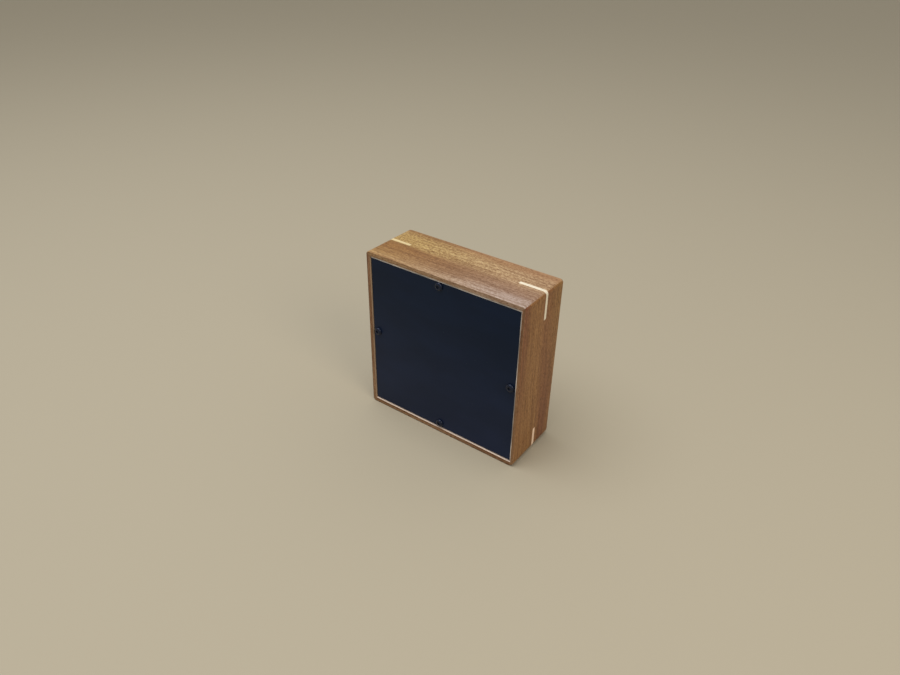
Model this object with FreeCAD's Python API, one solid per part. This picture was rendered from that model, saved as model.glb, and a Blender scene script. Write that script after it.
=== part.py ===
import FreeCAD, Part
import math
import os

# A square wooden puzzle box, standing on one of its narrow sides.
#
# Four mitred rails, keyed at the corners with splines, make the frame. A black panel, screwed into
# the front, covers a lock plate. The lid closes the back, and its post reaches through the
# compartment and the lock plate. Four loose pins slide in holes drilled in the plate: towards the
# middle they stand in the post's neck and hold the lid, and outwards they let it go.
#
# Lengths are in millimetres. +X is to the right of a viewer who faces the black panel, +Y goes from
# the panel to the lid, and +Z is up. The origin is the middle of the face that the box stands on.

Vector = FreeCAD.Vector

# The frame of four rails
SIDE = 120.0
DEPTH = 45.0
STOCK = 12.0
FRONT_ARRIS_RADIUS = 0.5
BACK_ARRIS_RADIUS = 2.0

# The black panel and its rebate, which was cut by hand and leaves a different rim on each side
RIM_TOP = 2.7
RIM_RIGHT = 2.2
RIM_BOTTOM = 3.3
RIM_LEFT = 2.8
PANEL_RECESS = 0.7
PANEL_THICKNESS = 3.0
PANEL_SIDE_GAP = 0.3
PANEL_TOP_GAP = 0.7
PANEL_BOTTOM_GAP = 0.5
PANEL_BEVEL = 0.6

# The corner splines, in slots sawn at 45 degrees
SPLINE_FROM_FRONT = 24.3
SPLINE_THICKNESS = 2.4

# The panel's screws, M3 x 8 button head with a hex socket, and their brass inserts
SCREW_RADIUS = 1.5
SCREW_LENGTH = 8.0
SCREW_TIP_CHAMFER = 0.3
SCREW_HOLE_RADIUS = 1.7
HEAD_RADIUS = 2.85
HEAD_HEIGHT = 1.65
HEAD_RIM = 0.25
HEAD_FLAT_RADIUS = 1.4
HEAD_DOME_BULGE = 0.4
SOCKET_ACROSS_FLATS = 2.0
SOCKET_DEPTH = 1.0
INSERT_RADIUS = 2.3
INSERT_LENGTH = 5.5
INSERT_HOLE_DEPTH = 6.5
INSERT_CHAMFER = 0.3

# The lock plate: a floor with a tongue all round, and its drilled holes
PLATE_THICKNESS = 12.0
TONGUE = 4.0
POST_HOLE_RADIUS = 5.8
PIN_HOLE_RADIUS = 2.1
PIN_HOLE_FROM_FRONT = 5.5

# The loose pins
PIN_RADIUS = 2.0
PIN_LENGTH = 40.0
PIN_CHAMFER = 0.4
PIN_TO_RAIL = 0.3

# The lid, its post and the wedge in the post's tenon
LID_RIM = 5.0
LID_THICKNESS = 6.7
LID_GAP = 0.3
LID_BEVEL = 0.5
POST_RADIUS = 5.5
POST_TO_PANEL = 0.5
NECK_RADIUS = 3.0
NECK_LENGTH = 5.0
TIP_CHAMFER = 0.5
TENON_RADIUS = 5.0
WEDGE_DEPTH = 5.5
WEDGE_WIDE = 1.8
WEDGE_NARROW = 0.6

# Glue or thread clearance between round faces that fit in each other
FIT = 0.05

# Places along the depth, from front to back
MIDDLE = SIDE / 2
FRONT = -DEPTH / 2
BACK = DEPTH / 2
PANEL_FACE = FRONT + PANEL_RECESS
LEDGE = PANEL_FACE + PANEL_THICKNESS
PIN_AXIS = LEDGE + PIN_HOLE_FROM_FRONT
FLOOR = LEDGE + PLATE_THICKNESS
SHOULDER = FLOOR - TONGUE
SPLINE_START = FRONT + SPLINE_FROM_FRONT - SPLINE_THICKNESS / 2
LID_SEAT = BACK - LID_THICKNESS

# Distances out from the middle of the square
OPENING = MIDDLE - STOCK
LID_HALF = MIDDLE - LID_RIM - LID_GAP

# Each side is the top one turned about the middle, clockwise as seen from the front.
SIDES = {"top": 0, "right": 90, "bottom": 180, "left": 270}

# Each corner: its direction across and up from the middle, how far its spline's slot runs along
# each face, and the radius it is rounded to. The sawing and sanding are by hand, so they differ.
CORNERS = {
    "top_left": (-1, 1, 17.2, 2.2),
    "top_right": (1, 1, 19.1, 2.4),
    "bottom_left": (-1, -1, 17.2, 2.2),
    "bottom_right": (1, -1, 17.2, 4.2),
}

# Where each screw is, across and up. They were drilled by hand, a little off the middle.
SCREWS = {
    "top": (-1.6, SIDE - 6.9),
    "right": (MIDDLE - 6.6, MIDDLE + 1.2),
    "bottom": (0.2, 7.5),
    "left": (7.2 - MIDDLE, MIDDLE + 1.5),
}


def square_block(half, front, back):
    """A square block on the box's middle line, between two places along the depth."""
    corner = Vector(-half, front, MIDDLE - half)
    return Part.makeBox(2 * half, back - front, 2 * half, corner)


def panel_block(front, back, side_gap=0.0, top_gap=0.0, bottom_gap=0.0):
    """A block that fills the panel's rebate, less a gap on each side."""
    left = RIM_LEFT + side_gap - MIDDLE
    right = MIDDLE - RIM_RIGHT - side_gap
    low = RIM_BOTTOM + bottom_gap
    high = SIDE - RIM_TOP - top_gap
    return Part.makeBox(right - left, back - front, high - low, Vector(left, front, low))


def round_bar(radius, front, back, across=0.0, up=MIDDLE):
    """A round bar along Y, on the box's middle line or elsewhere."""
    return Part.makeCylinder(radius, back - front, Vector(across, front, up), Vector(0, 1, 0))


def prism(outline, front, back):
    """A flat outline of (x, z) points, carried from one place along the depth to another."""
    points = [Vector(x, front, z) for x, z in outline]
    face = Part.Face(Part.makePolygon(points + points[:1]))
    return face.extrude(Vector(0, back - front, 0))


def turned(edges, across=0.0, up=MIDDLE):
    """A solid of revolution about a line along Y, from the edges of half its section."""
    section = Part.Face(Part.Wire(edges))
    solid = section.revolve(Vector(0, 0, 0), Vector(0, 1, 0), 360)
    return solid.translated(Vector(across, 0, up))


def section_lines(points):
    """Straight edges through (radius, y) points."""
    places = [Vector(radius, y, 0) for radius, y in points]
    return [Part.makeLine(a, b) for a, b in zip(places, places[1:])]


def on_side(shape, side):
    """A shape made for the top, turned to another side."""
    return shape.rotated(Vector(0, 0, MIDDLE), Vector(0, 1, 0), SIDES[side])


def edges_at(shape, front):
    """The edges of a shape that lie in the plane at one place along the depth."""
    return [
        edge
        for edge in shape.Edges
        if abs(edge.BoundBox.YMin - front) < 1e-6 and abs(edge.BoundBox.YMax - front) < 1e-6
    ]


def frame_outside():
    """The box's outer shape: rounded corners, with the arrises round its front and back eased."""
    block = square_block(MIDDLE, FRONT, BACK)
    for across, up, _, radius in CORNERS.values():
        corner = Part.Vertex(across * MIDDLE, 0, MIDDLE + up * MIDDLE)
        edge = min(block.Edges, key=lambda candidate: candidate.distToShape(corner)[0])
        block = block.makeFillet(radius, [edge])
    block = block.makeFillet(FRONT_ARRIS_RADIUS, edges_at(block, FRONT))
    return block.makeFillet(BACK_ARRIS_RADIUS, edges_at(block, BACK))


def spline_wedge(corner):
    """The full triangular space of a spline at one corner, before the corner is rounded."""
    across, up, leg, _ = CORNERS[corner]
    x = across * MIDDLE
    z = MIDDLE + up * MIDDLE
    outline = [(x, z), (x - across * leg, z), (x, z - up * leg)]
    return prism(outline, SPLINE_START, SPLINE_START + SPLINE_THICKNESS)


def rails(outside):
    """The four mitred rails, with rebates for panel and lid, a groove, and slots for the splines."""
    hollow = square_block(OPENING, FRONT, BACK)
    panel_rebate = panel_block(FRONT, LEDGE)
    groove = square_block(OPENING + TONGUE, SHOULDER, FLOOR)
    lid_rebate = square_block(MIDDLE - LID_RIM, LID_SEAT, BACK)
    frame = outside.cut([hollow, panel_rebate, groove, lid_rebate])
    quarter = prism([(0, MIDDLE), (-SIDE, MIDDLE + SIDE), (SIDE, MIDDLE + SIDE)], FRONT, BACK)
    slots = [spline_wedge(corner) for corner in CORNERS]
    made = {}
    for side in SIDES:
        insert_hole = round_bar(INSERT_RADIUS + FIT, LEDGE, LEDGE + INSERT_HOLE_DEPTH, *SCREWS[side])
        made["rail_" + side] = frame.common(on_side(quarter, side)).cut(slots + [insert_hole])
    return made


def splines(outside):
    """The corner keys, rounded flush with the box's corners."""
    return {"spline_" + corner: spline_wedge(corner).common(outside) for corner in CORNERS}


def back_panel():
    """The black panel, bevelled at its outer edge, with a clearance hole for each screw."""
    panel = panel_block(PANEL_FACE, LEDGE, PANEL_SIDE_GAP, PANEL_TOP_GAP, PANEL_BOTTOM_GAP)
    panel = panel.makeChamfer(PANEL_BEVEL, edges_at(panel, PANEL_FACE))
    return panel.cut([round_bar(SCREW_HOLE_RADIUS, PANEL_FACE, LEDGE, *SCREWS[side]) for side in SIDES])


def panel_screw(side):
    """A button-head screw: domed head, hex socket and plain shank."""
    rim = PANEL_FACE - HEAD_RIM
    top = PANEL_FACE - HEAD_HEIGHT
    end = PANEL_FACE + SCREW_LENGTH
    dome_start = Vector(HEAD_RADIUS, rim, 0)
    dome_end = Vector(HEAD_FLAT_RADIUS, top, 0)
    chord = dome_end - dome_start
    outward = Vector(-chord.y, chord.x, 0).normalize()
    dome_middle = (dome_start + dome_end) * 0.5 + outward * HEAD_DOME_BULGE
    dome = Part.Arc(dome_start, dome_middle, dome_end)
    below = section_lines(
        [
            (0, top),
            (0, end),
            (SCREW_RADIUS - SCREW_TIP_CHAMFER, end),
            (SCREW_RADIUS, end - SCREW_TIP_CHAMFER),
            (SCREW_RADIUS, PANEL_FACE),
            (HEAD_RADIUS, PANEL_FACE),
            (HEAD_RADIUS, rim),
        ]
    )
    flat = section_lines([(HEAD_FLAT_RADIUS, top), (0, top)])
    across, up = SCREWS[side]
    screw = turned(below + [dome.toShape()] + flat, across, up)
    corner_radius = SOCKET_ACROSS_FLATS / 2 / math.cos(math.radians(30))
    angles = [math.radians(60 * k) for k in range(6)]
    hexagon = [(across + corner_radius * math.cos(a), up + corner_radius * math.sin(a)) for a in angles]
    return screw.cut(prism(hexagon, top, top + SOCKET_DEPTH))


def insert(side):
    """A brass insert, chamfered outside at both ends."""
    end = LEDGE + INSERT_LENGTH
    bore = SCREW_RADIUS + FIT
    outline = [
        (bore, LEDGE),
        (INSERT_RADIUS - INSERT_CHAMFER, LEDGE),
        (INSERT_RADIUS, LEDGE + INSERT_CHAMFER),
        (INSERT_RADIUS, end - INSERT_CHAMFER),
        (INSERT_RADIUS - INSERT_CHAMFER, end),
        (bore, end),
        (bore, LEDGE),
    ]
    return turned(section_lines(outline), *SCREWS[side])


def lock_plate():
    """The compartment's floor, with a hole for the post and a drilled hole for each pin."""
    body = square_block(OPENING, LEDGE, FLOOR)
    tongue = square_block(OPENING + TONGUE, SHOULDER, FLOOR)
    post_hole = round_bar(POST_HOLE_RADIUS, LEDGE, FLOOR)
    pin_hole = Part.makeCylinder(PIN_HOLE_RADIUS, OPENING, Vector(0, PIN_AXIS, MIDDLE))
    plate = body.fuse(tongue).removeSplitter()
    return plate.cut([post_hole] + [on_side(pin_hole, side) for side in SIDES])


def lock_pin():
    """The top pin, drawn out to the rail, clear of the post."""
    start = MIDDLE + OPENING - PIN_TO_RAIL - PIN_LENGTH
    pin = Part.makeCylinder(PIN_RADIUS, PIN_LENGTH, Vector(0, PIN_AXIS, start))
    rims = [edge for edge in pin.Edges if edge.BoundBox.ZLength < 1e-6]
    return pin.makeChamfer(PIN_CHAMFER, rims)


def lid_panel():
    """The lid, bevelled round its outer face, with a hole for the post's tenon."""
    panel = square_block(LID_HALF, LID_SEAT, BACK)
    panel = panel.makeChamfer(LID_BEVEL, edges_at(panel, BACK))
    return panel.cut(round_bar(TENON_RADIUS + FIT, LID_SEAT, BACK))


def lid_wedge():
    """The wedge, driven into the tenon's end from outside, as wide as the tenon."""
    deep = BACK - WEDGE_DEPTH
    outline = [
        Vector(-WEDGE_WIDE / 2, BACK, MIDDLE),
        Vector(WEDGE_WIDE / 2, BACK, MIDDLE),
        Vector(WEDGE_NARROW / 2, deep, MIDDLE),
        Vector(-WEDGE_NARROW / 2, deep, MIDDLE),
    ]
    face = Part.Face(Part.makePolygon(outline + outline[:1]))
    slip = face.extrude(Vector(0, 0, 2 * TENON_RADIUS)).translated(Vector(0, 0, -TENON_RADIUS))
    return slip.common(round_bar(TENON_RADIUS, deep, BACK))


def lid_post(wedge):
    """The post: a tenon in the lid, a plain shaft, and a neck for the pins behind a chamfered tip."""
    tip = LEDGE + POST_TO_PANEL
    neck_start = PIN_AXIS - NECK_LENGTH / 2
    neck_end = PIN_AXIS + NECK_LENGTH / 2
    outline = [
        (0, tip),
        (POST_RADIUS - TIP_CHAMFER, tip),
        (POST_RADIUS, tip + TIP_CHAMFER),
        (POST_RADIUS, neck_start),
        (NECK_RADIUS, neck_start),
        (NECK_RADIUS, neck_end),
        (POST_RADIUS, neck_end),
        (POST_RADIUS, LID_SEAT),
        (TENON_RADIUS, LID_SEAT),
        (TENON_RADIUS, BACK),
        (0, BACK),
        (0, tip),
    ]
    return turned(section_lines(outline)).cut(wedge)


def build():
    """Every piece of the box by its name."""
    outside = frame_outside()
    wedge = lid_wedge()
    pieces = rails(outside)
    pieces.update(splines(outside))
    pieces["back_panel"] = back_panel()
    pieces["lock_plate"] = lock_plate()
    for side in SIDES:
        pieces["panel_screw_" + side] = panel_screw(side)
        pieces["insert_" + side] = insert(side)
        pieces["lock_pin_" + side] = on_side(lock_pin(), side)
    pieces["lid_panel"] = lid_panel()
    pieces["lid_post"] = lid_post(wedge)
    pieces["lid_wedge"] = wedge
    return pieces


os.makedirs("parts", exist_ok=True)
for name, shape in build().items():
    solids = shape.Solids
    if len(solids) != 1 or not shape.isValid():
        raise ValueError(f"{name}: {len(solids)} solids, valid {shape.isValid()}")
    solids[0].exportStep(f"parts/{name}.step")
    print(f"{name}: {solids[0].Volume / 1000:.2f} cm3")
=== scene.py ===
import math

import bpy
from mathutils import Matrix, Vector


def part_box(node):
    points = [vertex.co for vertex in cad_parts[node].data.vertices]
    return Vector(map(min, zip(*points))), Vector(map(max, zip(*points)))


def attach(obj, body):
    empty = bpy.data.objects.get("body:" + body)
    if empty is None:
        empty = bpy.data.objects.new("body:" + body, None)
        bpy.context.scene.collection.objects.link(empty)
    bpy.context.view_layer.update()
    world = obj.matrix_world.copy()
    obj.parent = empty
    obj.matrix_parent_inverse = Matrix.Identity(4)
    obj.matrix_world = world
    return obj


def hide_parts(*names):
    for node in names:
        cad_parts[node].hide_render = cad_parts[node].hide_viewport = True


# A wooden puzzle box. The wood, panel, plate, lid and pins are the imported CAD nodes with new
# materials. The panel's screws and their brass inserts are remade here with their threads.
# Patterns and small shapes are in millimetres, and MM turns them into Blender's metres.

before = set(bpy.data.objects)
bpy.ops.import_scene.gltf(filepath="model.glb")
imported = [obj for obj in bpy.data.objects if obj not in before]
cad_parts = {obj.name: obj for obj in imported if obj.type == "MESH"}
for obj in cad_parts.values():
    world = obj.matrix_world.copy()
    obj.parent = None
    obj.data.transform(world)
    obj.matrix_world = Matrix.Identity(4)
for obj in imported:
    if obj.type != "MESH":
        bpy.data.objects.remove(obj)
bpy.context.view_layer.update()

MM = 0.001
SIDES = ("top", "right", "bottom", "left")

# The box's outer size in millimetres. Its width is its height, so MIDDLE is half of both.
rail_low, rail_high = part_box("rail_top")
bottom_low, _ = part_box("rail_bottom")
HALF_DEPTH = (rail_high.y - rail_low.y) / 2 / MM
MIDDLE = (rail_high.z - bottom_low.z) / 2 / MM
# The ledge behind the panel
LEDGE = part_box("back_panel")[1].y / MM


# ---------------------------------------------------------------- node helpers

# How far apart two boards with neighbouring seeds lie in the noise, in millimetres
BOARD_STEP = (37.0, 11.0, 23.0)


class Finish:
    """One material, with short ways to add nodes to it. Its places are in millimetres: x, y and z
    as in the CAD, and up from the box's middle."""

    def __init__(self, name):
        self.material = bpy.data.materials.new(name)
        self.material.use_nodes = True
        self.tree = self.material.node_tree
        self.shader = self.tree.nodes["Principled BSDF"]
        where = self.node("TexCoord").outputs["Object"]
        self.place = self.times(where, (1 / MM,) * 3)
        self.x, self.y, self.z = self.split(self.place)
        self.up = self.math("SUBTRACT", self.z, MIDDLE)

    def feed(self, socket, value):
        if isinstance(value, bpy.types.NodeSocket):
            self.tree.links.new(value, socket)
        else:
            socket.default_value = value

    def node(self, kind, inputs=(), **settings):
        made = self.tree.nodes.new("ShaderNode" + kind)
        for setting, value in settings.items():
            setattr(made, setting, value)
        for key, value in dict(inputs).items():
            self.feed(made.inputs[key], value)
        return made

    def split(self, vector):
        return self.node("SeparateXYZ", {0: vector}).outputs[:3]

    def facing(self):
        """The direction that the surface faces, without its bumps."""
        return self.node("NewGeometry").outputs["Normal"]

    def plus(self, a, b):
        return self.node("VectorMath", {0: a, 1: b}, operation="ADD").outputs[0]

    def times(self, a, b):
        return self.node("VectorMath", {0: a, 1: b}, operation="MULTIPLY").outputs[0]

    def math(self, operation, *values):
        return self.node("Math", dict(enumerate(values)), operation=operation).outputs[0]

    def product(self, *values):
        total = values[0]
        for value in values[1:]:
            total = self.math("MULTIPLY", total, value)
        return total

    def along(self, axis, seed):
        """The place with its length along the grain first, moved by a seed to another board."""
        first = "XYZ".index(axis)
        order = [first] + [k for k in range(3) if k != first]
        parts = (self.x, self.y, self.z)
        turned = self.node("CombineXYZ", {i: parts[k] for i, k in enumerate(order)}).outputs[0]
        return self.plus(turned, tuple(seed * step for step in BOARD_STEP))

    def noise(self, where, stretch, detail=2.0, roughness=0.5):
        """Noise from 0 to 1 with features of about 1 / stretch millimetres each way."""
        inputs = {
            "Vector": self.times(where, stretch),
            "Scale": 1.0,
            "Detail": detail,
            "Roughness": roughness,
        }
        return self.node("TexNoise", inputs).outputs["Fac"]

    def fade(self, value, start, end, low=0.0, high=1.0):
        """A smooth step from low at start to high at end."""
        inputs = {"Value": value, "From Min": start, "From Max": end, "To Min": low, "To Max": high}
        return self.node("MapRange", inputs, interpolation_type="SMOOTHSTEP").outputs["Result"]

    def mix(self, factor, a, b, blend="MIX"):
        made = self.node("Mix", data_type="RGBA", blend_type=blend)
        self.feed(made.inputs["Factor"], factor)
        self.feed(made.inputs[6], a)
        self.feed(made.inputs[7], b)
        return made.outputs[2]

    def shade(self, colour, amount, warmth=0.0):
        """A colour made lighter or darker by a factor. With warmth, its dark parts turn redder."""
        powers = (1.0 - warmth, 1.0, 1.0 + warmth)
        parts = {i: self.math("POWER", amount, power) for i, power in enumerate(powers)}
        filtered = self.node("CombineColor", parts).outputs[0]
        return self.mix(1.0, colour, filtered, "MULTIPLY")

    def bands(self, value, start, end, stops):
        """Colours laid at places between start and end."""
        inputs = {"Value": value, "From Min": start, "From Max": end}
        factor = self.node("MapRange", inputs).outputs["Result"]
        made = self.node("ValToRGB", {0: factor})
        ramp = made.color_ramp
        ramp.interpolation = "B_SPLINE"
        for _ in stops[2:]:
            ramp.elements.new(0.5)
        for element, (place, colour) in zip(ramp.elements, stops):
            element.position = (place - start) / (end - start)
            element.color = colour
        return made.outputs[0]

    def bump(self, height, depth, strength=1.0):
        """A bump whose full height is depth millimetres."""
        inputs = {"Height": height, "Distance": depth * MM, "Strength": strength}
        return self.node("Bump", inputs).outputs[0]

    def set(self, **values):
        for name, value in values.items():
            self.feed(self.shader.inputs[name.replace("_", " ")], value)


def rgb(red, green, blue):
    return (red, green, blue, 1.0)


# ---------------------------------------------------------------- places on the box


def inside(f, place, half):
    """How far a place, measured from the middle, is within a half size."""
    return f.math("SUBTRACT", half, f.math("ABSOLUTE", place))


def outside_edge(f):
    """How far a point is from the box's nearest outer arris, in millimetres."""
    gaps = [inside(f, f.x, MIDDLE), inside(f, f.y, HALF_DEPTH), inside(f, f.up, MIDDLE)]
    pairs = [f.math("MAXIMUM", gaps[i], gaps[(i + 1) % 3]) for i in range(3)]
    return f.math("MINIMUM", f.math("MINIMUM", pairs[0], pairs[1]), pairs[2])


def shaded_side(f):
    """Where the arrises get painted shade: round the back and down the left."""
    back = f.fade(f.y, HALF_DEPTH - 2.2, HALF_DEPTH - 1.2)
    left = f.fade(f.x, 1.2 - MIDDLE, 0.6 - MIDDLE)
    return f.math("MAXIMUM", back, left)


def underneath(f):
    """The rounding under the bottom corners, where the surface turns down to the floor and the wood
    gets painted shade.
    """
    _, _, down = f.split(f.facing())
    return f.product(f.fade(down, -0.10, -0.45), f.fade(f.z, 5.0, 4.0))


def front_rim(f):
    """The rails' narrow front faces, round the panel."""
    return f.fade(f.y, 0.25 - HALF_DEPTH, 0.05 - HALF_DEPTH)


def hidden_rebate(f):
    """The sawn walls of the rebate, between the rims and the ledge behind the panel."""
    inset = f.math("MINIMUM", inside(f, f.x, MIDDLE), inside(f, f.up, MIDDLE))
    within_rims = f.fade(inset, 1.7, 1.8)
    in_front = f.fade(f.y, LEDGE + 0.1, LEDGE + 0.05)
    behind_rim = f.fade(f.y, 0.03 - HALF_DEPTH, 0.08 - HALF_DEPTH)
    return f.product(within_rims, in_front, behind_rim)


# ---------------------------------------------------------------- sapele

# How far the grain, the colour bands' edges and the bands themselves wander, in millimetres
GRAIN_WANDER = 6.0
BAND_WAVE = 9.0
BAND_WANDER = 10.0
# How softly a flecked strip begins and ends
STRIP_BLUR = 1.5
NO_STRIP = (99.0, 100.0)

# Pale colours for the sawn rebate walls, one lighter and one duller
SAWN = rgb(0.80, 0.67, 0.58)
DULL_SAWN = rgb(0.56, 0.405, 0.28)

# Oiled sapele, by hue. ROSE, DUSKY, MAUVE, STRAW and CORAL, at the top rail's right end, also carry
# a painted sheen there.
RIM = rgb(0.285, 0.180, 0.106)
PALE = rgb(0.365, 0.222, 0.092)
ROSE = rgb(0.362, 0.276, 0.238)
DUSKY = rgb(0.272, 0.175, 0.130)
HAZEL = rgb(0.280, 0.152, 0.048)
BROWN = rgb(0.268, 0.130, 0.044)
UMBER = rgb(0.258, 0.123, 0.032)
MAUVE = rgb(0.278, 0.168, 0.106)
RED = rgb(0.215, 0.086, 0.032)
DEEP = rgb(0.175, 0.060, 0.026)
AMBER = rgb(0.285, 0.160, 0.055)
GOLD = rgb(0.365, 0.235, 0.080)
STRAW = rgb(0.372, 0.240, 0.135)
CORAL = rgb(0.325, 0.182, 0.090)

# The colours of a rail at its two ends, left then right or bottom then top. Each has its place
# from the front to the back, in millimetres from the middle.
# The top rail's colours are its wood's with a painted sheen: paler and pinker at the right end and
# along the front.
TOP_BANDS = (
    [(-20.0, PALE), (-15.5, HAZEL), (-9.0, UMBER), (-4.0, UMBER), (0.5, GOLD), (8.0, GOLD),
     (13.5, GOLD), (18.0, AMBER), (22.0, BROWN)],
    [(-20.0, ROSE), (-14.0, DUSKY), (-9.0, MAUVE), (-4.0, MAUVE), (2.0, STRAW), (8.0, STRAW),
     (13.5, STRAW), (18.0, CORAL), (22.0, CORAL)],
)
RIGHT_BANDS = (
    [(-20.0, BROWN), (-12.0, BROWN), (-4.0, BROWN), (1.0, BROWN), (6.0, RED), (11.0, DEEP),
     (16.0, RED), (19.0, BROWN), (22.0, RED)],
    [(-22.0, DEEP), (-18.0, RED), (-14.0, BROWN), (-4.0, BROWN), (1.0, BROWN), (5.0, RED),
     (10.0, BROWN), (17.0, HAZEL), (22.0, BROWN)],
)
PLAIN_BANDS = (
    [(-20.0, BROWN), (-8.0, AMBER), (0.0, BROWN), (9.0, AMBER), (20.0, RED)],
    [(-20.0, RED), (-10.0, BROWN), (0.0, AMBER), (12.0, BROWN), (20.0, BROWN)],
)
# The lid's places go from the bottom to the top instead.
LID_BANDS = (
    [(-52.0, BROWN), (-38.0, AMBER), (-24.0, BROWN), (-12.0, AMBER), (2.0, GOLD), (16.0, AMBER),
     (30.0, RED), (42.0, BROWN), (54.0, AMBER)],
    [(-50.0, AMBER), (-34.0, BROWN), (-20.0, RED), (-8.0, BROWN), (4.0, STRAW), (18.0, GOLD),
     (30.0, BROWN), (44.0, RED), (54.0, BROWN)],
)


def wear_and_painted_light(f, fleck):
    """How much lighter or darker the wood is painted: a highlight along the arrises that also
    stands for rubbed wear, and painted shade on the back and left arrises, on the front rims, along
    the floor and under the bottom corners.
    """
    edge = outside_edge(f)
    shaded = shaded_side(f)
    # A painted highlight along the outer arrises, which also stands for rubbed wear. It is left off
    # where the arrises get painted shade.
    arris_highlight_and_rub = f.fade(f.math("ADD", edge, f.product(fleck, 0.5)), 0.75, 0.35)
    arris_highlight_and_rub = f.product(arris_highlight_and_rub, f.math("SUBTRACT", 1.0, shaded))
    # Painted shade on the arrises round the back and down the left.
    painted_arris_shade = f.product(f.fade(edge, 1.4, 0.5), shaded)
    return f.product(
        f.fade(arris_highlight_and_rub, 0.0, 1.0, 1.0, 1.14),
        f.fade(painted_arris_shade, 0.0, 1.0, 1.0, 0.50),
        # Painted shade on the rails' front rims.
        f.fade(front_rim(f), 0.0, 1.0, 1.0, 0.82),
        # A painted shadow along the bottom, where the wood meets the floor.
        f.fade(f.math("ADD", f.z, fleck), 1.5, 0.7, 1.0, 0.32),
        # Painted shade under the rounded bottom corners.
        f.fade(underneath(f), 0.0, 1.0, 1.0, 0.4),
    )


def sapele(name, axis, seed, bands, across="y", reach=HALF_DEPTH, strip=NO_STRIP, sawn=SAWN):
    """Oiled sapele. Its colours lie in bands across the board, one set of them at each end.

    Ribbon figure, streaks, fibres and dark pores are drawn out along the grain. In one strip of
    the board the grain comes to the surface, and the strip is more flecked."""
    f = Finish(name)
    grain = f.along(axis, seed)
    wander = f.math("SUBTRACT", f.noise(grain, (0.014, 0.03, 0.03), detail=1.0), 0.5)
    shift = f.product(wander, GRAIN_WANDER)
    fibres = f.plus(grain, f.node("CombineXYZ", {1: shift, 2: shift}).outputs[0])
    ribbon = f.noise(fibres, (0.010, 0.14, 0.14), detail=2.0)
    streak = f.noise(fibres, (0.022, 0.65, 0.65), detail=3.0, roughness=0.6)
    fibre = f.noise(fibres, (0.12, 3.2, 3.2), detail=3.0, roughness=0.7)
    fleck = f.noise(fibres, (0.55, 1.25, 1.25), detail=3.0, roughness=0.75)
    pore = f.fade(f.noise(fibres, (0.42, 3.0, 3.0), detail=1.0), 0.60, 0.68)

    wave = f.product(f.math("SUBTRACT", ribbon, 0.5), BAND_WAVE)
    place = f.math("ADD", getattr(f, across), wave)
    place = f.math("ADD", place, f.product(wander, BAND_WANDER))
    ground = f.mix(
        f.fade(f.x if axis == "X" else f.up, -MIDDLE, MIDDLE),
        f.bands(place, -reach, reach, bands[0]),
        f.bands(place, -reach, reach, bands[1]),
    )
    in_strip = f.product(
        f.fade(place, strip[0] - STRIP_BLUR, strip[0] + STRIP_BLUR),
        f.fade(place, strip[1] + STRIP_BLUR, strip[1] - STRIP_BLUR),
    )
    flecks = f.product(f.fade(fleck, 0.32, 0.68, -1.0, 1.0), f.fade(in_strip, 0.0, 1.0, 0.30, 0.54))
    tone = f.product(
        f.fade(ribbon, 0.25, 0.75, 0.92, 1.08),
        f.fade(streak, 0.30, 0.64, 0.65, 1.12),
        f.fade(fibre, 0.22, 0.78, 0.82, 1.16),
        f.math("ADD", 1.0, flecks),
        f.fade(pore, 0.0, 1.0, 1.03, 0.50),
        wear_and_painted_light(f, fleck),
    )
    ground = f.mix(f.product(front_rim(f), 0.6), ground, RIM)
    sawn = f.shade(sawn, f.fade(fibre, 0.2, 0.8, 0.82, 1.1))
    colour = f.mix(hidden_rebate(f), f.shade(ground, tone, warmth=0.25), sawn)
    rough = f.fade(f.math("ADD", fibre, pore), 0.3, 1.6, 0.40, 0.60)
    height = f.math("SUBTRACT", f.product(fibre, 0.35), pore)
    f.set(Base_Color=colour, Roughness=rough, Normal=f.bump(height, 0.05, 0.6))
    f.set(Specular_IOR_Level=0.3)
    return f.material


# ---------------------------------------------------------------- the other materials


def maple(name, axis, seed, tint):
    """Pale maple with faint fibres."""
    f = Finish(name)
    grain = f.along(axis, seed)
    fibre = f.noise(grain, (0.10, 3.0, 3.0), detail=3.0, roughness=0.6)
    cloud = f.noise(grain, (0.05, 0.25, 0.25), detail=2.0)
    fleck = f.noise(grain, (0.5, 1.6, 1.6), detail=2.0)
    tone = f.product(
        f.fade(fibre, 0.3, 0.75, 1.04, 0.86),
        f.fade(cloud, 0.35, 0.7, 0.96, 1.05),
        f.fade(fleck, 0.3, 0.7, 0.96, 1.03),
    )
    rough = f.fade(fibre, 0.2, 0.8, 0.42, 0.56)
    f.set(Base_Color=f.shade(tint, tone), Roughness=rough, Normal=f.bump(fibre, 0.02, 0.5))
    f.set(Specular_IOR_Level=0.3)
    return f.material


def walnut():
    """Dark walnut with its fibres along the wedge."""
    f = Finish("walnut")
    fibre = f.noise(f.along("Y", 41), (0.2, 4.0, 4.0), detail=3.0, roughness=0.6)
    colour = f.mix(f.fade(fibre, 0.3, 0.7), rgb(0.045, 0.024, 0.013), rgb(0.090, 0.050, 0.028))
    rough = f.fade(fibre, 0.2, 0.8, 0.42, 0.58)
    f.set(Base_Color=colour, Roughness=rough, Normal=f.bump(fibre, 0.03, 0.5))
    return f.material


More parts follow.
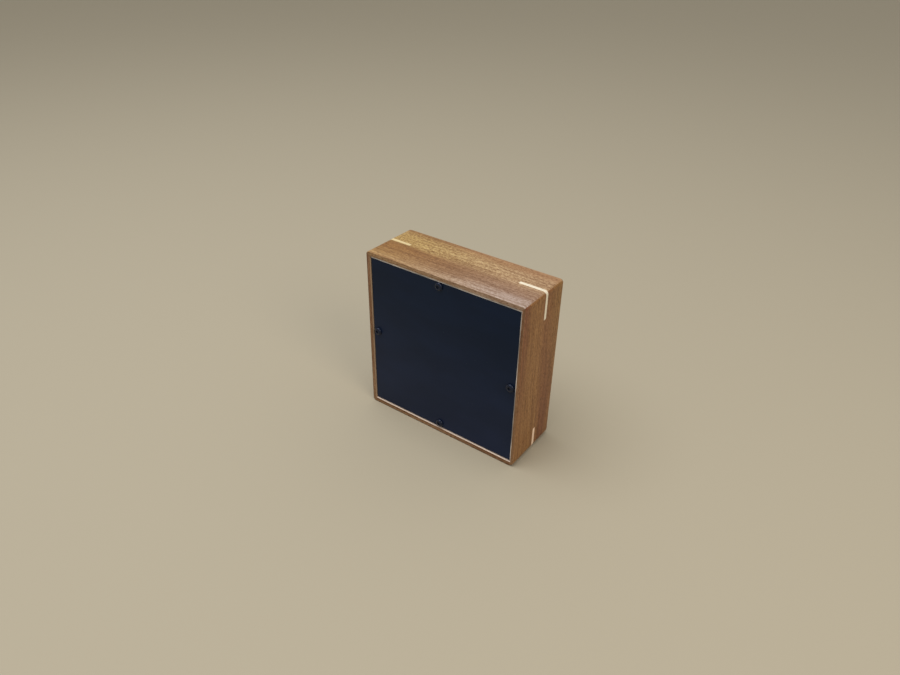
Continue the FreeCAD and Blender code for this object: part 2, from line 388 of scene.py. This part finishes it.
def black_sheet():
    """Fine satin black sheet with specks of dust, a little paler lower down, where a reflection of
    the floor is painted. Its bevel has a painted highlight along the top and down the right."""
    f = Finish("black_sheet")
    rightward, forward, upward = f.split(f.facing())
    bevel = f.fade(f.math("ABSOLUTE", forward), 0.95, 0.80)
    # A painted highlight on the bevels that face up and to the right, faint on the others.
    bevel_facing_light = f.fade(f.math("ADD", rightward, upward), 0.1, 0.4, 0.04, 1.0)
    painted_bevel_highlight = f.product(bevel, bevel_facing_light)
    grit = f.noise(f.place, (6.0, 6.0, 6.0), detail=2.0)
    dust = f.noise(f.place, (1.1, 1.1, 1.1), detail=1.0)
    smear = f.noise(f.place, (0.02, 0.02, 0.05), detail=3.0)
    # A painted reflection of the floor: the sheet is paler lower down.
    upper = rgb(0.0022, 0.0072, 0.0250)
    lower = rgb(0.0080, 0.0134, 0.0385)
    face = f.mix(f.fade(f.z, 115.0, 5.0), upper, lower)
    face = f.shade(face, f.fade(smear, 0.35, 0.7, 0.88, 1.12))
    face = f.mix(f.fade(dust, 0.77, 0.80, 0.0, 0.8), face, rgb(0.09, 0.10, 0.12))
    bevel_highlight_unevenness = f.noise(f.place, (0.05, 0.05, 0.05), detail=2.0)
    bevel_highlight_colour = f.shade(rgb(0.70, 0.67, 0.64), f.fade(bevel_highlight_unevenness, 0.35, 0.65, 0.50, 1.25))
    colour = f.mix(painted_bevel_highlight, face, bevel_highlight_colour)
    rough = f.math("ADD", f.fade(smear, 0.3, 0.7, 0.28, 0.38), f.product(painted_bevel_highlight, 0.2))
    f.set(Base_Color=colour, Roughness=rough, Normal=f.bump(grit, 0.01, 0.4))
    f.set(Specular_IOR_Level=0.20, Specular_Tint=rgb(0.60, 0.80, 1.0))
    return f.material


def black_steel():
    """Steel with a glossy black oxide finish, slightly mottled."""
    f = Finish("black_oxide_steel")
    mottle = f.noise(f.place, (1.5, 1.5, 1.5), detail=3.0)
    colour = f.mix(f.fade(mottle, 0.35, 0.7), rgb(0.003, 0.005, 0.013), rgb(0.007, 0.011, 0.026))
    rough = f.fade(mottle, 0.3, 0.7, 0.15, 0.30)
    f.set(Base_Color=colour, Roughness=rough, Normal=f.bump(mottle, 0.01, 0.3))
    f.set(Specular_IOR_Level=0.4, Specular_Tint=rgb(0.58, 0.68, 1.0))
    return f.material


def bare_metal(name, colour, stretch):
    """Turned or ground metal, with fine tool lines."""
    f = Finish(name)
    lines = f.noise(f.place, stretch, detail=3.0)
    tint = f.shade(rgb(*colour), f.fade(lines, 0.3, 0.7, 0.8, 1.0))
    rough = f.fade(lines, 0.25, 0.75, 0.22, 0.38)
    f.set(Base_Color=tint, Roughness=rough, Metallic=1.0, Normal=f.bump(lines, 0.01, 0.3))
    return f.material


def plywood():
    """Birch plywood: fine grain on its faces and crossed veneers on its edges."""
    two_veneers = 2.4
    f = Finish("birch_plywood")
    ply = f.math("FRACT", f.product(f.math("SUBTRACT", f.y, LEDGE), 1 / two_veneers))
    grain = f.noise(f.place, (0.03, 0.8, 0.8), detail=4.0, roughness=0.6)
    colour = f.mix(f.fade(grain, 0.3, 0.7), rgb(0.62, 0.45, 0.26), rgb(0.50, 0.34, 0.18))
    colour = f.mix(f.fade(ply, 0.45, 0.5, 0.0, 0.55), colour, rgb(0.36, 0.22, 0.11))
    rough = f.fade(grain, 0.3, 0.7, 0.55, 0.68)
    f.set(Base_Color=colour, Roughness=rough, Normal=f.bump(grain, 0.03, 0.4))
    return f.material


def dress(node, material):
    """Give a CAD node its material."""
    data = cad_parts[node].data
    data.materials.clear()
    data.materials.append(material)


# ---------------------------------------------------------------- threaded pieces

RING = 48  # points round each ring, a multiple of six so that a hexagon's corners fall on points
THREAD_STEPS = 8  # rings in one turn of a thread
SHARP = math.radians(38)  # the angle between two faces from which their edge looks sharp

# Sizes in millimetres. A screw's and an insert's depths are from its front.
HEAD_HEIGHT = 1.65
HEAD_RADIUS = 2.85
HEAD_SIDE = 0.3  # the upright side below the dome
HEAD_FLAT_RADIUS = 1.45
DOME_STEPS = 8
SOCKET_APOTHEM = 1.0
SOCKET_DEPTH = 1.0
SCREW_THREAD = {"crest": 1.5, "depth": 0.26, "pitch": 0.5}
INSERT_THREAD = {"crest": 2.3, "depth": 0.35, "pitch": 1.3}
INSERT_BORE = 1.56


def circle(radius, y):
    """A ring of points (x, y, z) about the Y axis."""
    angles = [2 * math.pi * k / RING for k in range(RING)]
    return [(radius * math.cos(a), y, radius * math.sin(a)) for a in angles]


def hexagon(apothem, y):
    """A ring that follows a hexagon."""
    sixth = math.pi / 3
    points = []
    for k in range(RING):
        angle = 2 * math.pi * k / RING
        radius = apothem / math.cos((angle % sixth) - sixth / 2)
        points.append((radius * math.cos(angle), y, radius * math.sin(angle)))
    return points


def helix(crest, depth, pitch, y):
    """A ring across a screw thread, whose crest goes round once for each pitch."""
    points = []
    for k in range(RING):
        turn = k / RING
        fall = abs(2 * ((y / pitch + turn) % 1) - 1)
        radius = crest - depth * fall
        angle = 2 * math.pi * turn
        points.append((radius * math.cos(angle), y, radius * math.sin(angle)))
    return points


def threaded(crest, depth, pitch, start, end):
    """Rings along a thread, one for each step of its pitch."""
    count = round(abs(end - start) / pitch * THREAD_STEPS)
    return [helix(crest, depth, pitch, start + (end - start) * k / count) for k in range(count + 1)]


def rings_to_piece(name, rings, node, body, material, closed=False):
    """A mesh through the rings, capped at both ends or closed round, put where a CAD node is."""
    low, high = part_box(node)
    centre = (low + high) / 2
    points = []
    for ring in rings:
        points += [(centre.x + x * MM, low.y + y * MM, centre.z + z * MM) for x, y, z in ring]
    count = len(rings)
    faces = []
    for i in range(count if closed else count - 1):
        here = i * RING
        there = (i + 1) % count * RING
        for k in range(RING):
            after = (k + 1) % RING
            faces.append((here + k, here + after, there + after, there + k))
    if not closed:
        faces.append(tuple(reversed(range(RING))))
        faces.append(tuple(range((count - 1) * RING, count * RING)))
    mesh = bpy.data.meshes.new(name)
    mesh.from_pydata(points, [], faces)
    mesh.shade_smooth()
    mesh.set_sharp_from_angle(angle=SHARP)
    mesh.materials.append(material)
    piece = bpy.data.objects.new(name, mesh)
    bpy.context.scene.collection.objects.link(piece)
    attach(piece, body)
    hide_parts(node)
    return piece


def depth_of(node):
    """A node's size from front to back, in millimetres."""
    low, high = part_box(node)
    return (high.y - low.y) / MM


def dome(angle):
    """The ring where the head's dome has turned by an angle from its flat top."""
    radius = HEAD_FLAT_RADIUS + (HEAD_RADIUS - HEAD_FLAT_RADIUS) * math.sin(angle)
    return circle(radius, (HEAD_HEIGHT - HEAD_SIDE) * (1 - math.cos(angle)))


def screw_rings():
    """A button-head screw from its socket's floor, over the head and down the thread."""
    length = depth_of("panel_screw_top")
    socket = [
        hexagon(0.1, SOCKET_DEPTH + 0.15),
        hexagon(SOCKET_APOTHEM - 0.1, SOCKET_DEPTH),
        hexagon(SOCKET_APOTHEM, SOCKET_DEPTH - 0.08),
        hexagon(SOCKET_APOTHEM, 0.12),
        circle(1.24, 0.02),
        circle(1.3, 0.0),
    ]
    head = [dome(math.radians(90 * k / DOME_STEPS)) for k in range(DOME_STEPS + 1)]
    head += [
        circle(HEAD_RADIUS, HEAD_HEIGHT - 0.15),
        circle(HEAD_RADIUS - 0.03, HEAD_HEIGHT - 0.05),
        circle(HEAD_RADIUS - 0.1, HEAD_HEIGHT),
    ]
    neck = [circle(1.7, HEAD_HEIGHT), circle(1.45, HEAD_HEIGHT + 0.05)]
    thread = threaded(**SCREW_THREAD, start=HEAD_HEIGHT + 0.3, end=length - 0.3)
    tip = [circle(1.15, length - 0.05), circle(1.05, length)]
    return socket + head + neck + thread + tip


def insert_rings():
    """A brass insert: coarse thread outside, plain bore with eased mouths inside."""
    length = depth_of("insert_top")
    front = [circle(1.75, 0.0), circle(1.9, 0.05), circle(1.95, 0.4)]
    thread = threaded(**INSERT_THREAD, start=0.6, end=length - 0.7)
    back = [circle(1.9, length - 0.1), circle(1.8, length)]
    bore = [
        circle(INSERT_BORE + 0.06, length),
        circle(INSERT_BORE, length - 0.1),
        circle(INSERT_BORE, 0.15),
        circle(INSERT_BORE + 0.09, 0.0),
    ]
    return front + thread + back + bore


# ---------------------------------------------------------------- the box

WOODS = {
    "rail_top": sapele("sapele_top", "X", 3, TOP_BANDS, strip=(-0.5, 17.0)),
    "rail_right": sapele("sapele_right", "Z", 4, RIGHT_BANDS),
    "rail_bottom": sapele("sapele_bottom", "X", 5, PLAIN_BANDS),
    "rail_left": sapele("sapele_left", "Z", 6, PLAIN_BANDS, strip=(5.0, 12.0), sawn=DULL_SAWN),
    "lid_panel": sapele("sapele_lid", "X", 9, LID_BANDS, "up", MIDDLE, strip=(-4.0, 22.0)),
}
for node, wood in WOODS.items():
    dress(node, wood)

# Each spline's own tint. The top left one is darker and yellower.
MAPLES = {
    "top_left": rgb(0.67, 0.55, 0.31),
    "top_right": rgb(0.79, 0.73, 0.60),
    "bottom_left": rgb(0.80, 0.68, 0.48),
    "bottom_right": rgb(0.90, 0.68, 0.53),
}
for number, corner in enumerate(MAPLES):
    dress("spline_" + corner, maple("maple_" + corner, "X", 20 + number, MAPLES[corner]))
dress("lid_post", maple("maple_post", "Y", 31, rgb(0.80, 0.68, 0.48)))
dress("lid_wedge", walnut())
dress("back_panel", black_sheet())
dress("lock_plate", plywood())
black = black_steel()
brass = bare_metal("turned_brass", (0.75, 0.52, 0.22), (2.0, 8.0, 2.0))
steel = bare_metal("ground_steel", (0.62, 0.63, 0.65), (3.0, 3.0, 3.0))
for side in SIDES:
    screw = "panel_screw_" + side
    insert = "insert_" + side
    rings_to_piece("button_screw_" + side, screw_rings(), screw, "box", black)
    rings_to_piece("brass_insert_" + side, insert_rings(), insert, "box", brass, True)
    dress("lock_pin_" + side, steel)


# ---------------------------------------------------------------- floor, light, camera


def floor():
    """A plain pale floor, 12 m across."""
    mesh = bpy.data.meshes.new("floor")
    half = 6.0
    corners = [(-half, -half, 0), (half, -half, 0), (half, half, 0), (-half, half, 0)]
    mesh.from_pydata(corners, [], [(0, 1, 2, 3)])
    plane = bpy.data.objects.new("floor", mesh)
    bpy.context.scene.collection.objects.link(plane)
    f = Finish("floor_finish")
    f.set(Base_Color=rgb(0.40, 0.365, 0.285), Roughness=0.85)
    mesh.materials.append(f.material)


def area_light(name, place, target, size, power, colour):
    """A round soft light that faces its target. Places and size are in metres, power in watts."""
    data = bpy.data.lights.new(name, "AREA")
    data.shape = "DISK"
    data.size = size
    data.energy = power
    data.color = colour
    lamp = bpy.data.objects.new(name, data)
    lamp.location = place
    aim = Vector(target) - Vector(place)
    lamp.rotation_euler = aim.to_track_quat("-Z", "Y").to_euler()
    bpy.context.scene.collection.objects.link(lamp)


def sky():
    """Even warm light from all round."""
    world = bpy.data.worlds.new("soft_room")
    bpy.context.scene.world = world
    world.use_nodes = True
    background = world.node_tree.nodes["Background"]
    background.inputs["Color"].default_value = rgb(1.0, 0.95, 0.86)
    background.inputs["Strength"].default_value = 0.55


def camera():
    """The camera stands in front, to the right and above, and leans over by about a degree.
    Its distance and aim are in metres."""
    azimuth = math.radians(35.6)
    elevation = math.radians(32.54)
    lean = math.radians(1.11)
    distance = 0.4798
    aim = Vector((-0.0083, 0.0, 0.0625))
    outward = Vector(
        (
            math.sin(azimuth) * math.cos(elevation),
            -math.cos(azimuth) * math.cos(elevation),
            math.sin(elevation),
        )
    )
    data = bpy.data.cameras.new("camera")
    data.lens = 28.52
    data.sensor_width = 36.0
    data.clip_start = 0.01
    eye = bpy.data.objects.new("camera", data)
    eye.location = aim + outward * distance
    turn = (-outward).to_track_quat("-Z", "Y").to_matrix() @ Matrix.Rotation(lean, 3, "Z")
    eye.rotation_euler = turn.to_euler()
    bpy.context.scene.collection.objects.link(eye)
    bpy.context.scene.camera = eye


bpy.context.scene.view_settings.view_transform = "Standard"
floor()
sky()
area_light(
    "overhead",
    place=(-0.25, -0.3, 1.3),
    target=(0, 0, 0.05),
    size=1.2,
    power=11.3,
    colour=(1.0, 0.99, 0.98),
)
area_light(
    "warm_side",
    place=(0.95, -0.35, 0.85),
    target=(0, 0, 0.06),
    size=0.6,
    power=4.2,
    colour=(1.0, 0.86, 0.68),
)
camera()
